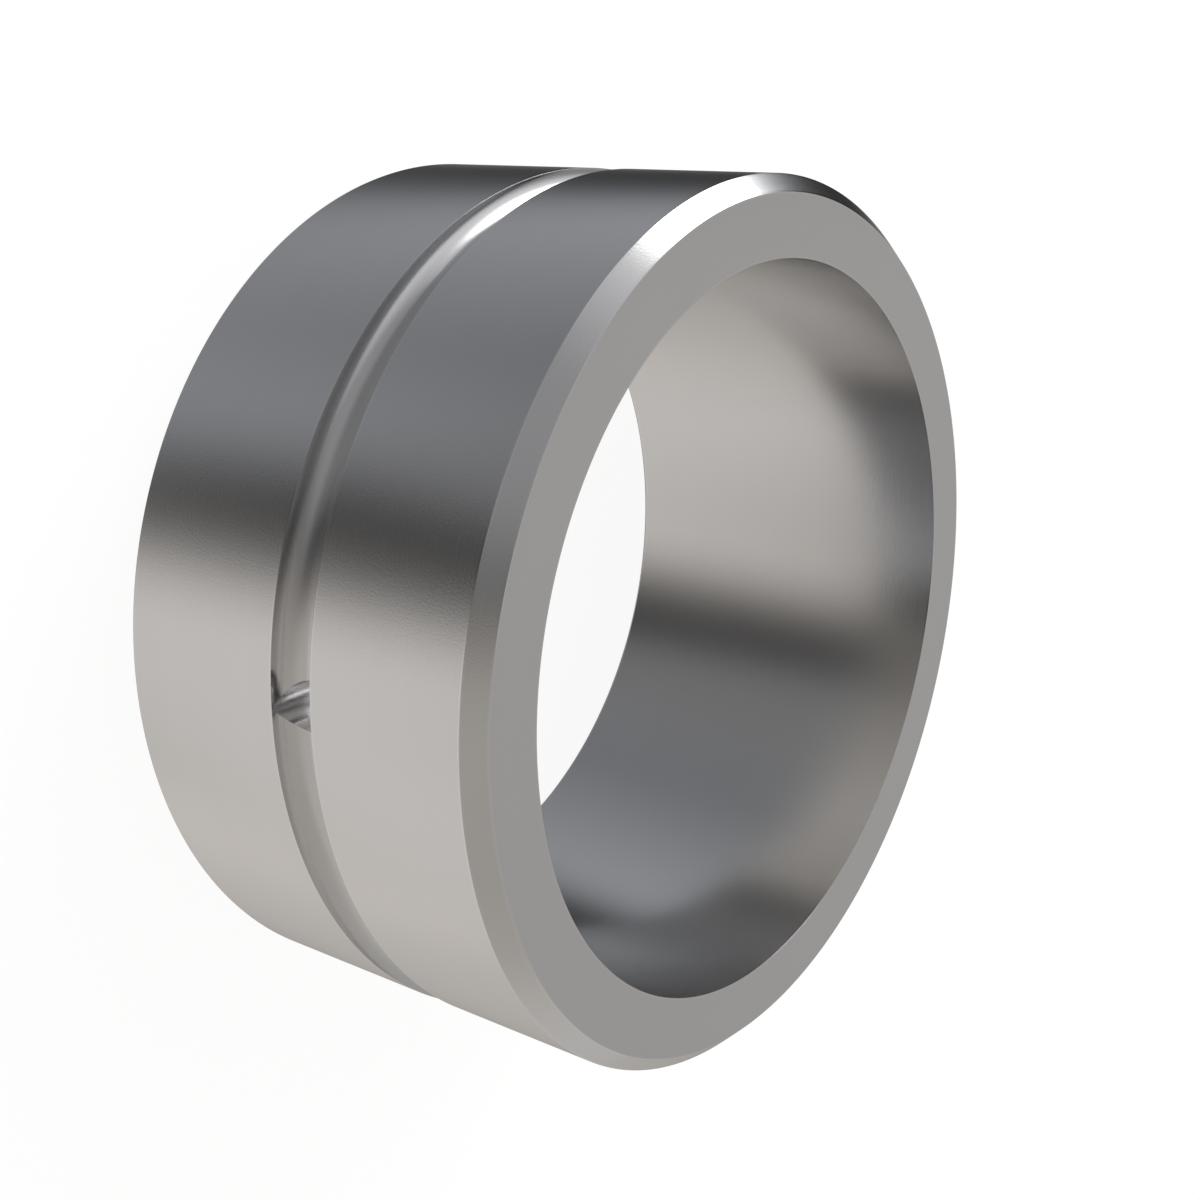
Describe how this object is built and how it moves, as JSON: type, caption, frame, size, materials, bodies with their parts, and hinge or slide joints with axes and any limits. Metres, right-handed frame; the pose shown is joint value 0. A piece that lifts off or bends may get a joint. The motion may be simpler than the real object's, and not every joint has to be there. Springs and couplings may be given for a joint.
{
  "type": "grooved bushing",
  "caption": "Plain turned steel ring with a running bore, a chamfered lead-in end, and a round-bottomed grease groove outside with a radial oil hole at its bottom.",
  "frame": {"origin": "centre of the plain end's face, on the ring's axis", "axes": "+Z is the ring's axis, from the plain end on the ground to the chamfered end; the oil hole faces -Y"},
  "size_m": [0.075, 0.075, 0.035],
  "materials": {
    "steel": "satin, fine turned"
  },
  "bodies": {
    "root": {"bushing": "steel"}
  },
  "joints": []
}
